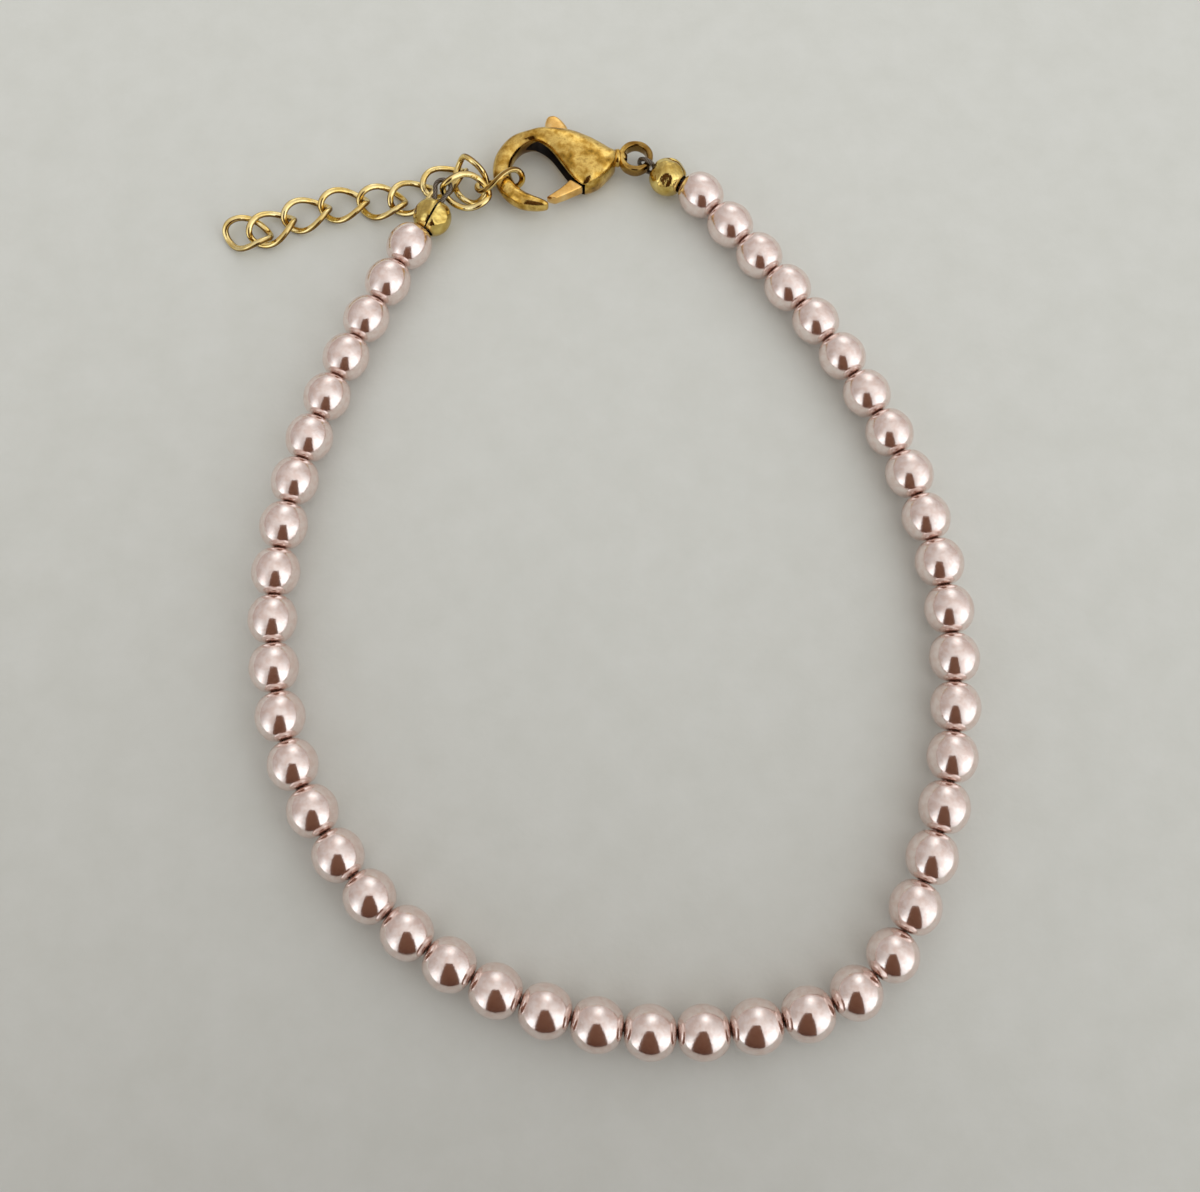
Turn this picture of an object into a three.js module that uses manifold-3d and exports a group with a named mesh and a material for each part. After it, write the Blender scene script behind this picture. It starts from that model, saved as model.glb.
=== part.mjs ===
// Pearl anklet: forty-five small pearls on beading wire, a lobster clasp at one end and a short
// extension chain at the other, closed and lying flat on a surface.
// Millimetres, +Z up. The surface is z = 0 and the origin is the middle of the anklet's outline.

import * as THREE from 'three';
import { mergeVertices } from 'three/addons/utils/BufferGeometryUtils.js';
import Module from 'manifold-3d';

const wasm = await Module();
wasm.setup();

// ---------------------------------------------------------------------------
// Driving dimensions
// ---------------------------------------------------------------------------

const MERGE_DISTANCE = 1e-4;

const PEARL_DIAMETER = 4.0;
const PEARL_LENGTH = 3.88;
const PEARL_COUNT = 45;
const PEARL_PITCH = 4.01;
const PEARL_BORE = 1.0;
const PEARL_SIDES = 12;
const PEARL_BANDS = 6;

const WIRE_DIAMETER = 0.38;
const WIRE_SIDES = 6;
const WIRE_STEPS_A_SPAN = 2;
const CHAIN_LOOP_RADIUS = 0.68;
const CLASP_LOOP_RADIUS = 0.78;
const LOOP_HALF_TURN = 125;
const LOOP_STEPS = 6;
const LOOP_STRAND_OFFSET = 0.26;

const COVER_DIAMETER = 3.5;
const COVER_WALL = 0.4;
const COVER_MOUTH = 1.84;
const COVER_SLIT = 0.22;
const COVER_TO_PEARL = 3.58;
const COVER_HEIGHT = 1.9;
// What the loop beyond each cover holds, in plan.
const CHAIN_HOLD = { x: -14.4, y: 26.7 };
const CLASP_HOLD = { x: 7.5, y: 31.25 };

const LINK_LENGTH = 4.72;
const LINK_WIDTH = 3.48;
const LINK_WIRE = 0.46;
const LINK_TWIST = THREE.MathUtils.degToRad(90);
const LINK_STEPS = 24;
const LINK_SIDES = 6;

const CLASP_THICKNESS = 3.3;
const CLASP_ROUNDING = 0.6;
const SLOT_HEIGHT = 1.7;
const LEVER_THICKNESS = 1.1;
const PIN_RADIUS = 0.35;
const LEVER_EYE_RADIUS = 0.65;
const LEVER_HUB_RADIUS = 1.15;
const RING_RADIUS = 1.22;
const RING_BAR_RADIUS = 0.42;
const NECK_START = 3.9;
const NECK_RADIUS_AT_BODY = 0.9;
const NECK_RADIUS_AT_RING = 0.7;
const CLASP_MIDDLE = CLASP_THICKNESS / 2;

// Where the clasp lies: its drawing origin, in the same plan as the strand table below.
const CLASP_PLACE = new THREE.Vector3(-1.95, 33.4, 0);

// Plan of the thread through the pearls, from the chain end round to the clasp end.
const STRAND = [
  { x: -16.2, y: 23.9 },
  { x: -21.1, y: 13.1 },
  { x: -24.7, y: 1.6 },
  { x: -25.6, y: -10.4 },
  { x: -23.0, y: -22.1 },
  { x: -16.1, y: -32.2 },
  { x: -6.1, y: -38.8 },
  { x: 5.6, y: -41.5 },
  { x: 17.2, y: -40.1 },
  { x: 22.4, y: -37.5 },
  { x: 25.7, y: -32.6 },
  { x: 29.5, y: -21.2 },
  { x: 30.2, y: -9.1 },
  { x: 27.7, y: 2.7 },
  { x: 22.6, y: 13.4 },
  { x: 15.6, y: 23.2 },
  { x: 10.2, y: 29.6 },
];

// One row for each link: its middle, the heading of its long axis, how far that axis climbs, and
// how far the link is rolled about it. link_10 holds the thread and link_01 is the free end.
const LINKS = [
  { name: 'link_01', x: -31.28, y: 25.52, z: 0.88, heading: -10, climb: 2, roll: 179 },
  { name: 'link_02', x: -29.09, y: 26.21, z: 0.88, heading: 23, climb: 0, roll: 2 },
  { name: 'link_03', x: -26.01, y: 27.68, z: 0.83, heading: 16, climb: 0, roll: 0 },
  { name: 'link_04', x: -22.63, y: 28.69, z: 0.91, heading: 9, climb: -1, roll: -1 },
  { name: 'link_05', x: -19.12, y: 29.03, z: 0.83, heading: -2, climb: 0, roll: 2 },
  { name: 'link_06', x: -16.34, y: 29.67, z: 0.83, heading: 22, climb: -1, roll: 0 },
  { name: 'link_07', x: -13.41, y: 31.36, z: 0.99, heading: 24, climb: 7, roll: -11 },
  { name: 'link_08', x: -11.04, y: 31.08, z: 1.48, heading: -73, climb: -28, roll: 22 },
  { name: 'link_09', x: -8.24, y: 30.77, z: 1.71, heading: 14, climb: 6, roll: 109 },
  { name: 'link_10', x: -11.26, y: 29.46, z: 2.23, heading: -1, climb: -13, roll: 32 },
];

// Hook of the clasp, from its root in the body round to its tip: middle line, width in plan and
// thickness.
const HOOK = [
  { x: -1.8, y: 1.95, width: 1.7, thickness: 2.4 },
  { x: -3.3, y: 1.95, width: 1.65, thickness: 2.3 },
  { x: -4.9, y: 1.2, width: 1.7, thickness: 2.1 },
  { x: -5.95, y: -0.4, width: 1.75, thickness: 1.9 },
  { x: -6.05, y: -2.1, width: 1.7, thickness: 1.9 },
  { x: -5.35, y: -3.65, width: 1.5, thickness: 1.9 },
  { x: -4.25, y: -4.48, width: 1.4, thickness: 1.9 },
  { x: -3.15, y: -4.82, width: 1.25, thickness: 1.8 },
  { x: -2.3, y: -4.97, width: 0.9, thickness: 1.5 },
  { x: -1.76, y: -5.06, width: 0.5, thickness: 1.1 },
];

// Outline of the clasp's body, clockwise from the root of the hook.
const BODY_OUTLINE = [
  { x: -3.4, y: 2.65 },
  { x: -1.9, y: 2.88 },
  { x: 0.0, y: 2.72 },
  { x: 2.2, y: 2.0 },
  { x: 3.8, y: 0.95 },
  { x: 4.6, y: -0.2 },
  { x: 4.2, y: -1.45 },
  { x: 2.95, y: -2.82 },
  { x: 2.12, y: -3.3 },
  { x: 1.42, y: -3.42 },
  { x: 0.85, y: -2.95 },
  { x: -0.6, y: -1.15 },
  { x: -1.6, y: 0.25 },
  { x: -2.6, y: 0.98 },
  { x: -3.4, y: 1.2 },
];

// Corners of the slot in which the lever swings.
const SLOT_OUTLINE = [
  { x: -3.1, y: 0.4 },
  { x: -2.75, y: 3.6 },
  { x: 2.9, y: 3.6 },
  { x: 3.45, y: 0.2 },
  { x: 3.45, y: -2.1 },
  { x: 2.9, y: -4.4 },
  { x: -1.2, y: -4.4 },
];

// The lever turns about PIVOT. ARM is its thumb arm, and GATE its closing bar.
const PIVOT = { x: 2.0, y: -1.5 };

const ARM = [
  { x: 2.0, y: -1.5 },
  { x: 0.05, y: 1.3 },
  { x: 0.1, y: 2.6 },
  { x: -0.45, y: 3.3 },
  { x: -0.95, y: 3.9 },
  { x: -1.45, y: 4.1 },
  { x: -1.9, y: 3.9 },
  { x: -2.1, y: 3.4 },
  { x: -2.05, y: 2.5 },
  { x: -1.1, y: 1.4 },
  { x: 0.9, y: -1.4 },
];

const GATE = [
  { x: 2.75, y: -2.45 },
  { x: 1.42, y: -3.3 },
  { x: 0.62, y: -3.78 },
  { x: -0.2, y: -4.2 },
  { x: -1.05, y: -4.55 },
  { x: -1.88, y: -4.33 },
  { x: -1.25, y: -3.9 },
  { x: -0.55, y: -3.34 },
  { x: 0.15, y: -2.6 },
  { x: 0.9, y: -1.3 },
];

const RING_PLACE = { x: 6.4, y: 0.05 };

// ---------------------------------------------------------------------------
// Materials
// ---------------------------------------------------------------------------

const MATERIALS = {
  pearl: new THREE.MeshStandardMaterial({ color: 0xd9bfb8, roughness: 0.25, metalness: 0.1 }),
  wire: new THREE.MeshStandardMaterial({ color: 0x8f8779, roughness: 0.4, metalness: 0.8 }),
  bright: new THREE.MeshStandardMaterial({ color: 0xdcc070, roughness: 0.15, metalness: 1.0 }),
  cover: new THREE.MeshStandardMaterial({ color: 0xc9b25c, roughness: 0.18, metalness: 1.0 }),
  clasp: new THREE.MeshStandardMaterial({ color: 0xb8893a, roughness: 0.35, metalness: 1.0 }),
  lever: new THREE.MeshStandardMaterial({ color: 0xd8ab63, roughness: 0.35, metalness: 1.0 }),
};

// ---------------------------------------------------------------------------
// Helpers
// ---------------------------------------------------------------------------

// A closed geometry as a manifold-3d solid.
function solid(geometry) {
  const bare = geometry.clone();
  for (const name of ['normal', 'uv']) {
    bare.deleteAttribute(name);
  }
  const merged = mergeVertices(bare, MERGE_DISTANCE);
  return new wasm.Manifold(new wasm.Mesh({
    numProp: 3,
    vertProperties: new Float32Array(merged.attributes.position.array),
    triVerts: new Uint32Array(merged.index.array),
  }));
}

// A manifold-3d solid as a geometry.
function geometryOf(manifold) {
  const mesh = manifold.getMesh();
  const geometry = new THREE.BufferGeometry();
  geometry.setAttribute('position', new THREE.Float32BufferAttribute(mesh.vertProperties, 3));
  geometry.setIndex(Array.from(mesh.triVerts));
  geometry.computeVertexNormals();
  return geometry;
}

// A curve whose points are spread evenly over its own parameter, not over its length, so that
// tight bends get as many steps as long straight stretches.
class ParameterCurve extends THREE.Curve {
  getPointAt(t, target) {
    return this.getPoint(t, target);
  }

  getTangentAt(t, target) {
    return this.getTangent(t, target);
  }
}

// Outline shape through the rows of a table, with straight sides.
function polygon(rows) {
  return new THREE.Shape(rows.map((row) => new THREE.Vector2(row.x, row.y)));
}

// Outline shape through the rows of a table, as one smooth closed line.
function smoothOutline(rows, divisions) {
  const line = new THREE.CatmullRomCurve3(
    rows.map((row) => new THREE.Vector3(row.x, row.y, 0)),
    true,
    'centripetal',
  );
  const points = line.getPoints(divisions).slice(0, -1);
  return new THREE.Shape(points.map((point) => new THREE.Vector2(point.x, point.y)));
}

// A round-edged bar that follows a middle line in plan and takes its width and its thickness from
// the rows of a table: a cylinder carried over to that line, ring by ring.
function taperedBar(rows, middleHeight, sides, steps) {
  const middle = new THREE.CatmullRomCurve3(rows.map((row) => new THREE.Vector3(row.x, row.y, 0)));
  const size = new THREE.CatmullRomCurve3(rows.map((row) => new THREE.Vector3(row.width, row.thickness, 0)));
  const bar = new THREE.CylinderGeometry(1, 1, 1, sides, steps);
  const position = bar.attributes.position;
  for (let i = 0; i < position.count; i += 1) {
    const share = 0.5 - position.getY(i);
    const point = middle.getPoint(share);
    const tangent = middle.getTangent(share);
    const reach = size.getPoint(share);
    const across = (position.getZ(i) * reach.x) / 2;
    const height = (position.getX(i) * reach.y) / 2;
    position.setXYZ(i, point.x + tangent.y * across, point.y - tangent.x * across, middleHeight + height);
  }
  return bar;
}

// A plate from z = low to z = high whose edges are rounded inside its outline, four fifths as far
// in as they are high.
function roundedPlate(shape, low, high, rounding, segments) {
  const inset = rounding * 0.8;
  const geometry = new THREE.ExtrudeGeometry(shape, {
    depth: high - low - 2 * rounding,
    bevelThickness: rounding,
    bevelSize: inset,
    bevelOffset: -inset,
    bevelSegments: segments,
    curveSegments: 8,
  });
  geometry.translate(0, 0, low + rounding);
  return geometry;
}

// A plate with square edges.
function plate(shape, low, high) {
  const geometry = new THREE.ExtrudeGeometry(shape, {
    depth: high - low,
    bevelEnabled: false,
    curveSegments: 8,
  });
  geometry.translate(0, 0, low);
  return geometry;
}

// Turns a piece made about the Y axis so that this axis points along a direction, and its first
// profile line points down.
function alignAxis(mesh, direction) {
  const along = direction.clone().normalize();
  const down = new THREE.Vector3(0, 0, -1).addScaledVector(along, along.z).normalize();
  const side = new THREE.Vector3().crossVectors(along, down);
  mesh.quaternion.setFromRotationMatrix(new THREE.Matrix4().makeBasis(side, along, down));
}

// ---------------------------------------------------------------------------
// The strand
// ---------------------------------------------------------------------------

const PEARL_RADIUS = PEARL_DIAMETER / 2;

const strandCurve = new THREE.CatmullRomCurve3(
  STRAND.map((row) => new THREE.Vector3(row.x, row.y, PEARL_RADIUS)),
);
strandCurve.arcLengthDivisions = 2000;

// Pearl n sits n pitches along the thread, and the first starts the table.
function pearlPlace(index) {
  const share = (index * PEARL_PITCH) / strandCurve.getLength();
  return {
    position: strandCurve.getPointAt(Math.min(share, 1)),
    tangent: strandCurve.getTangentAt(Math.min(share, 1)),
  };
}

// A ball with a bore, a little shorter along it, as a closed profile turned about the bore.
function pearlGeometry() {
  const start = Math.asin(PEARL_BORE / PEARL_DIAMETER);
  const profile = [];
  for (let i = 0; i <= PEARL_BANDS; i += 1) {
    const angle = start + ((Math.PI - 2 * start) * i) / PEARL_BANDS;
    profile.push(new THREE.Vector2(Math.sin(angle) * PEARL_RADIUS, (-Math.cos(angle) * PEARL_LENGTH) / 2));
  }
  profile.push(profile[0].clone());
  return new THREE.LatheGeometry(profile, PEARL_SIDES);
}

function addPearls(group) {
  const geometry = pearlGeometry();
  for (let i = 0; i < PEARL_COUNT; i += 1) {
    const { position, tangent } = pearlPlace(i);
    const pearl = new THREE.Mesh(geometry, MATERIALS.pearl);
    pearl.name = `pearl_${String(i + 1).padStart(2, '0')}`;
    pearl.position.copy(position);
    alignAxis(pearl, tangent);
    group.add(pearl);
  }
}

// ---------------------------------------------------------------------------
// Crimp covers: hollow balls folded round the crimped wire, with an open seam
// ---------------------------------------------------------------------------

const firstPearl = pearlPlace(0);
const lastPearl = pearlPlace(PEARL_COUNT - 1);

// A cover sits off the end of the thread, towards what the wire's end loop holds.
function coverPlace(pearl, hold) {
  const direction = new THREE.Vector3(hold.x, hold.y, 0).sub(pearl.position).setZ(0).normalize();
  return pearl.position.clone().addScaledVector(direction, COVER_TO_PEARL).setZ(COVER_HEIGHT);
}

const chainCoverPlace = coverPlace(firstPearl, CHAIN_HOLD);
const claspCoverPlace = coverPlace(lastPearl, CLASP_HOLD);

function coverGeometry() {
  const outer = COVER_DIAMETER / 2;
  const inner = outer - COVER_WALL;
  const mouth = COVER_MOUTH / 2;
  const profile = [];
  const arc = (radius, from, to, count) => {
    for (let i = 0; i <= count; i += 1) {
      const angle = from + ((to - from) * i) / count;
      profile.push(new THREE.Vector2(Math.sin(angle) * radius, -Math.cos(angle) * radius));
    }
  };
  const outerStart = Math.asin(mouth / outer);
  const innerStart = Math.asin(mouth / inner);
  arc(outer, outerStart, Math.PI - outerStart, 8);
  arc(inner, Math.PI - innerStart, innerStart, 6);
  profile.push(profile[0].clone());
  const ball = solid(new THREE.LatheGeometry(profile, 16));
  const seam = new THREE.BoxGeometry(outer * 2, outer * 4, COVER_SLIT);
  seam.translate(outer, 0, 0);
  return geometryOf(ball.subtract(solid(seam)));
}

// ---------------------------------------------------------------------------
// Extension chain
// ---------------------------------------------------------------------------

// A point on the middle line of a curb link: an oval whose plane turns by LINK_TWIST from one end
// to the other.
function linkPoint(angle, target) {
  const length = (LINK_LENGTH - LINK_WIRE) / 2;
  const width = (LINK_WIDTH - LINK_WIRE) / 2;
  const turn = -(LINK_TWIST / 2) * Math.cos(angle);
  const across = width * Math.sin(angle);
  return target.set(length * Math.cos(angle), across * Math.cos(turn), across * Math.sin(turn));
}

// A torus carried over to the twisted oval: its big circle becomes the middle line, and its small
// circle the round wire.
function linkGeometry() {
  const torus = new THREE.TorusGeometry(1, LINK_WIRE / 2, LINK_SIDES, LINK_STEPS);
  const position = torus.attributes.position;
  const from = new THREE.Vector3();
  const middle = new THREE.Vector3();
  const before = new THREE.Vector3();
  const after = new THREE.Vector3();
  const outward = new THREE.Vector3();
  for (let i = 0; i < position.count; i += 1) {
    from.fromBufferAttribute(position, i);
    const angle = Math.atan2(from.y, from.x);
    const reach = Math.hypot(from.x, from.y) - 1;
    linkPoint(angle, middle);
    linkPoint(angle - 0.01, before);
    linkPoint(angle + 0.01, after);
    const tangent = after.sub(before).normalize();
    outward.copy(middle).addScaledVector(tangent, -middle.dot(tangent)).normalize();
    const up = new THREE.Vector3().crossVectors(outward, tangent);
    middle.addScaledVector(outward, reach).addScaledVector(up, from.z);
    position.setXYZ(i, middle.x, middle.y, middle.z);
  }
  torus.computeVertexNormals();
  return torus;
}

function linkMatrix(row) {
  const degrees = THREE.MathUtils.degToRad;
  const heading = new THREE.Matrix4().makeRotationZ(degrees(row.heading));
  const climb = new THREE.Matrix4().makeRotationY(-degrees(row.climb));
  const roll = new THREE.Matrix4().makeRotationX(degrees(row.roll));
  return heading.multiply(climb).multiply(roll).setPosition(row.x, row.y, row.z);
}

function addLinks(group) {
  const geometry = linkGeometry();
  for (const row of LINKS) {
    const link = new THREE.Mesh(geometry, MATERIALS.bright);
    link.name = row.name;
    link.applyMatrix4(linkMatrix(row));
    group.add(link);
  }
}

// ---------------------------------------------------------------------------
// Beading wire: through every pearl, and back on itself in a loop at each end
// ---------------------------------------------------------------------------

// A loop from inside a cover, round a bar and back. `across` is the side the two strands lie on,
// and the strands run straight from 0.4 mm behind the cover's middle to 1.2 mm past it.
function loopPoints(cover, bar, across, radius) {
  const along = bar.clone().sub(cover).normalize();
  const rows = [
    { base: cover, along: -0.4, across: LOOP_STRAND_OFFSET },
    { base: cover, along: 1.2, across: LOOP_STRAND_OFFSET },
  ];
  for (let i = 0; i <= LOOP_STEPS; i += 1) {
    const turn = THREE.MathUtils.degToRad(LOOP_HALF_TURN * (1 - (2 * i) / LOOP_STEPS));
    rows.push({ base: bar, along: radius * Math.cos(turn), across: radius * Math.sin(turn) });
  }
  rows.push({ base: cover, along: 1.2, across: -LOOP_STRAND_OFFSET });
  rows.push({ base: cover, along: -0.3, across: -LOOP_STRAND_OFFSET });
  return rows.map((row) => row.base.clone()
    .addScaledVector(along, row.along)
    .addScaledVector(across, row.across));
}

// The clasp's ring, where the loop holds it, and the end of link_10 that the other loop holds.
function ringBar() {
  const middle = new THREE.Vector3(RING_PLACE.x, RING_PLACE.y, CLASP_MIDDLE).add(CLASP_PLACE);
  const toward = claspCoverPlace.clone().sub(middle).setZ(0).normalize();
  return middle.addScaledVector(toward, RING_RADIUS);
}

function chainBar() {
  const row = LINKS.find((link) => link.name === 'link_10');
  return linkPoint(Math.PI, new THREE.Vector3()).applyMatrix4(linkMatrix(row));
}

// Each cover lies along the line from its pearl to the bar that the wire's loop holds, with its seam
// turned to where the closing pliers left it.
function addCovers(group) {
  const rows = [
    { name: 'chain_side', pearl: firstPearl, place: chainCoverPlace, bar: chainBar(), seam: -65 },
    { name: 'clasp_side', pearl: lastPearl, place: claspCoverPlace, bar: ringBar(), seam: -50 },
  ];
  for (const row of rows) {
    const cover = new THREE.Mesh(coverGeometry(), MATERIALS.cover);
    cover.name = `crimp_cover_${row.name}`;
    cover.position.copy(row.place);
    alignAxis(cover, row.bar.clone().sub(row.pearl.position));
    cover.rotateY(THREE.MathUtils.degToRad(row.seam));
    group.add(cover);
  }
}

class WirePath extends ParameterCurve {
  constructor() {
    super();
    const up = new THREE.Vector3(0, 0, 1);
    const chainAlong = chainBar().sub(chainCoverPlace);
    const chainAcross = new THREE.Vector3().crossVectors(up, chainAlong).normalize();
    const chainLoop = loopPoints(chainCoverPlace, chainBar(), chainAcross, CHAIN_LOOP_RADIUS);
    const claspLoop = loopPoints(claspCoverPlace, ringBar(), up, CLASP_LOOP_RADIUS).reverse();
    const thread = [];
    for (let i = 0; i < PEARL_COUNT; i += 1) {
      thread.push(pearlPlace(i).position);
    }
    const entry = firstPearl.position.clone().addScaledVector(firstPearl.tangent, -PEARL_RADIUS);
    const exit = lastPearl.position.clone().addScaledVector(lastPearl.tangent, PEARL_RADIUS);
    this.line = new THREE.CatmullRomCurve3([...chainLoop, entry, ...thread, exit, ...claspLoop]);
    this.steps = WIRE_STEPS_A_SPAN * (this.line.points.length - 1);
  }

  getPoint(t, target = new THREE.Vector3()) {
    return this.line.getPoint(t, target);
  }
}

function addWire(group) {
  const section = new THREE.Shape();
  section.absarc(0, 0, WIRE_DIAMETER / 2, 0, Math.PI * 2);
  const points = section.getPoints(WIRE_SIDES / 2).slice(0, -1);
  const path = new WirePath();
  const geometry = new THREE.ExtrudeGeometry(new THREE.Shape(points), {
    steps: path.steps,
    extrudePath: path,
  });
  const wire = new THREE.Mesh(geometry, MATERIALS.wire);
  wire.name = 'bead_wire';
  group.add(wire);
}

// ---------------------------------------------------------------------------
// Lobster clasp
// ---------------------------------------------------------------------------

function hookSolid() {
  return solid(taperedBar(HOOK, CLASP_MIDDLE, 10, 24));
}

function bodySolid() {
  const outline = smoothOutline(BODY_OUTLINE, 40);
  const shell = solid(roundedPlate(outline, 0, CLASP_THICKNESS, CLASP_ROUNDING, 3));
  const low = CLASP_MIDDLE - SLOT_HEIGHT / 2;
  const high = CLASP_MIDDLE + SLOT_HEIGHT / 2;
  const slot = solid(plate(polygon(SLOT_OUTLINE), low, high));
  return shell.add(hookSolid()).subtract(slot);
}

function pinSolid() {
  const length = CLASP_THICKNESS - CLASP_ROUNDING;
  const pin = new THREE.CylinderGeometry(PIN_RADIUS, PIN_RADIUS, length, 12);
  pin.rotateX(Math.PI / 2);
  pin.translate(PIVOT.x, PIVOT.y, CLASP_MIDDLE);
  return solid(pin);
}

function neckSolid() {
  const end = RING_PLACE.x - RING_RADIUS;
  const neck = new THREE.CylinderGeometry(NECK_RADIUS_AT_RING, NECK_RADIUS_AT_BODY, end - NECK_START, 12);
  neck.rotateZ(-Math.PI / 2);
  neck.translate((NECK_START + end) / 2, RING_PLACE.y, CLASP_MIDDLE);
  return solid(neck);
}

function ringSolid() {
  const ring = new THREE.TorusGeometry(RING_RADIUS, RING_BAR_RADIUS, 8, 20);
  ring.translate(RING_PLACE.x, RING_PLACE.y, CLASP_MIDDLE);
  return solid(ring);
}

function leverGeometry() {
  const low = CLASP_MIDDLE - LEVER_THICKNESS / 2;
  const high = CLASP_MIDDLE + LEVER_THICKNESS / 2;
  const hub = new THREE.CylinderGeometry(LEVER_HUB_RADIUS, LEVER_HUB_RADIUS, LEVER_THICKNESS, 20);
  hub.rotateX(Math.PI / 2);
  hub.translate(PIVOT.x, PIVOT.y, CLASP_MIDDLE);
  const eye = new THREE.CylinderGeometry(LEVER_EYE_RADIUS, LEVER_EYE_RADIUS, CLASP_THICKNESS, 16);
  eye.rotateX(Math.PI / 2);
  eye.translate(PIVOT.x, PIVOT.y, CLASP_MIDDLE);
  const arm = solid(plate(polygon(ARM), low, high));
  const gate = solid(plate(polygon(GATE), low, high));
  return geometryOf(solid(hub).add(arm).add(gate).subtract(solid(eye)));
}

function addClasp(group) {
  const clasp = new THREE.Group();
  clasp.position.copy(CLASP_PLACE);
  const joined = bodySolid().add(pinSolid()).add(neckSolid()).add(ringSolid());
  const body = new THREE.Mesh(geometryOf(joined), MATERIALS.clasp);
  body.name = 'clasp_body';
  const lever = new THREE.Mesh(leverGeometry(), MATERIALS.lever);
  lever.name = 'clasp_lever';
  clasp.add(body, lever);
  group.add(clasp);
}

// ---------------------------------------------------------------------------
// The anklet, moved so that the origin is the middle of its outline on the surface
// ---------------------------------------------------------------------------

const anklet = new THREE.Group();
addPearls(anklet);
addLinks(anklet);
addCovers(anklet);
addWire(anklet);
addClasp(anklet);

anklet.updateMatrixWorld(true);
const outlineBox = new THREE.Box3().setFromObject(anklet, true);
const outlineMiddle = outlineBox.getCenter(new THREE.Vector3());
anklet.position.set(-outlineMiddle.x, -outlineMiddle.y, 0);

export default anklet;
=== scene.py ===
"""Pearl anklet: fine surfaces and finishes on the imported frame.

Tables and named sizes are in millimetres, and every mesh is written in metres.
"""

import math

import bmesh
import bpy
import numpy as np
from mathutils import Matrix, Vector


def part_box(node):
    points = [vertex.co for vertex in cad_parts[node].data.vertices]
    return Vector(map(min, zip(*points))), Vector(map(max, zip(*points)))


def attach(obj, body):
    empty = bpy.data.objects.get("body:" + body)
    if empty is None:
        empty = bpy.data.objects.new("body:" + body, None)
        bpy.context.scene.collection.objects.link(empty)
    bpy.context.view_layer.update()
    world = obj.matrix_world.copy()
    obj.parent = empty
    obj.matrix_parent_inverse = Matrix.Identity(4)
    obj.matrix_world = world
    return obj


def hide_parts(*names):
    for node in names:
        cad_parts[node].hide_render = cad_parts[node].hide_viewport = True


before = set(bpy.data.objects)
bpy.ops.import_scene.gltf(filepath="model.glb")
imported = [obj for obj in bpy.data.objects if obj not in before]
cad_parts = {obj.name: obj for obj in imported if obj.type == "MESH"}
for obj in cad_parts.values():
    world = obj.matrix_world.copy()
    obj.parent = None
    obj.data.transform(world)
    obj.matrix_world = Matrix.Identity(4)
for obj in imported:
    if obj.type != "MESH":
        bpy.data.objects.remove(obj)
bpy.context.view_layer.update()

# ---------------------------------------------------------------------------
# Sizes in millimetres
# ---------------------------------------------------------------------------

MM = 0.001
UP = np.array([0.0, 0.0, 1.0])
# Edges that bend by more than this stay sharp.
SHARP_EDGE = math.radians(38)

PEARLS = 45
PEARL_RADIUS = 2.0
# A hair less than the diameter, so that neighbours stay apart.
PEARL_LENGTH = 3.985
# Power of the pearl's curve near its bore, and what it loses for each degree of the thread's bend.
PEARL_FLATNESS = 2.8
FLATNESS_LOST = 0.04
BORE_RADIUS = 0.42
BORE_LIP = 0.07

WIRE_RADIUS = 0.21
CHAIN_LOOP_RADIUS = 0.72
CLASP_LOOP_RADIUS = 0.88
# The two wires of a loop: how far past the middle of its cover each ends, how far before it they
# part, how far off the middle they lie, and the degrees that the loop's arc turns each way.
LOOP_ENDS_INSIDE = (0.4, 0.3)
LOOP_BENDS_OUTSIDE = 1.2
LOOP_OFF_MIDDLE = 0.26
LOOP_END_OFF_MIDDLE = 0.22
LOOP_HALF_TURN = 125

COVER_RADIUS = 1.75
COVER_WALL = 0.4
COVER_MOUTH = 0.85
COVER_SLIT = 0.10
# How far a cover's rims and seam draw in, and their reach in points of the arc and in radians.
RIM_DRAW, RIM_REACH = 0.09, 1.6
SEAM_DRAW, SEAM_REACH = 0.05, 0.05
INNER_SEAM_SHARE = -0.6
# A flat's soft edge, and the least share of a direction that faces a flat.
FLAT_BLEND = 0.02
LEAST_FACING = 0.2

LINK_LENGTH = 4.72
LINK_WIDTH = 3.48
# The bare wire gives a link its middle line, and the plated one its thickness.
LINK_WIRE = 0.46
LINK_PLATED_WIDE = 0.58
LINK_PLATED_TALL = 0.50
LINK_PLATED_POWER = 2.1
LINK_TWIST = math.radians(90)

CLASP_MIDDLE = 1.65
RING_RADIUS = 1.32
RING_WIDE = 0.60
RING_TALL = 1.25
RING_POWER = 3.2
RING_ALONG = 6.27
RING_ACROSS = 0.05
NECK_ACROSS = 0.08
THUMB_POWER = 3.2
# Shares of its length over which an arm of the clasp rounds off at its first and last end, and
# the size of the very last section as a share of the full one.
CLASP_ENDS = (0.022, 0.03)
GATE_ENDS = (0.04, 0.03)
THUMB_ENDS = (0.04, 0.04)
END_SECTION = 0.015
# A mark's share on the underside, and how far off the middle plane the whole mark shows.
UNDERSIDE_SHARE = 0.3
MARK_FULL_AT = 0.9
CASTING_WAVE = 0.010

# Points and sections that the surfaces are drawn with.
PEARL_ARC_POINTS, PEARL_LIP_POINTS, PEARL_BORE_POINTS, PEARL_TURNS = 45, 6, 5, 56
LINK_STEPS, LINK_POINTS = 112, 24
LOOP_POINTS, WIRE_STEPS_A_ROW, WIRE_POINTS = 9, 7, 16
COVER_ARC_POINTS, COVER_TURNS = 49, 97
CLASP_STEPS, CLASP_POINTS = 260, 72
ARM_STEPS, ARM_POINTS = 90, 48
RING_STEPS, NECK_STEPS, BAND_POINTS = 96, 48, 32


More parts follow.
